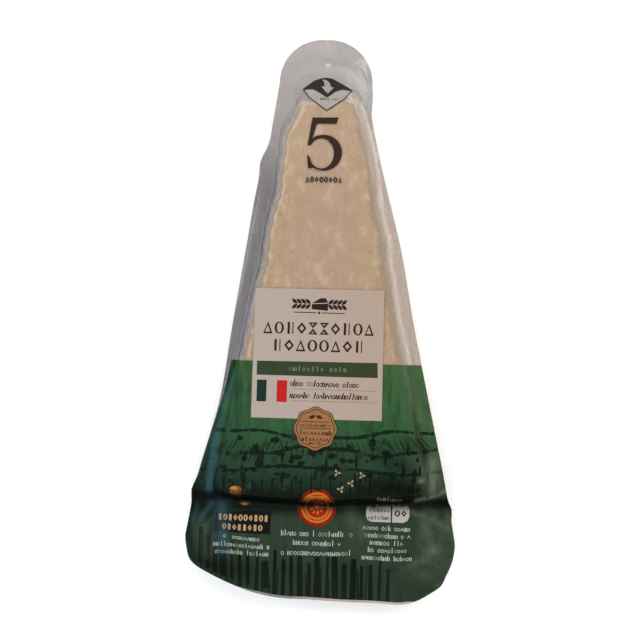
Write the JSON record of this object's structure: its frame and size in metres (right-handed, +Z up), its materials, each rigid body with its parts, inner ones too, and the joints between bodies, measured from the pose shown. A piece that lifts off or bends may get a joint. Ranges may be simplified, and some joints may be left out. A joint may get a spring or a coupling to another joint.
{
  "type": "vacuum-packed hard cheese wedge",
  "caption": "Wedge of hard cheese in a clear vacuum pack: a formed tray that clings to the cheese, a wide sealed flange and a printed film lid.",
  "frame": {"origin": "middle of the footprint's box, on the surface the pack stands on", "axes": "+Y from the wide rind end to the narrow nose, +Z up, +X to the right seen from above with the nose away"},
  "size_m": [0.1063, 0.223, 0.0215],
  "materials": {
    "pack": "clear glossy film tight over pale straw-coloured cheese"
  },
  "bodies": {
    "root": {"sealed_pack": "pack"}
  },
  "joints": []
}
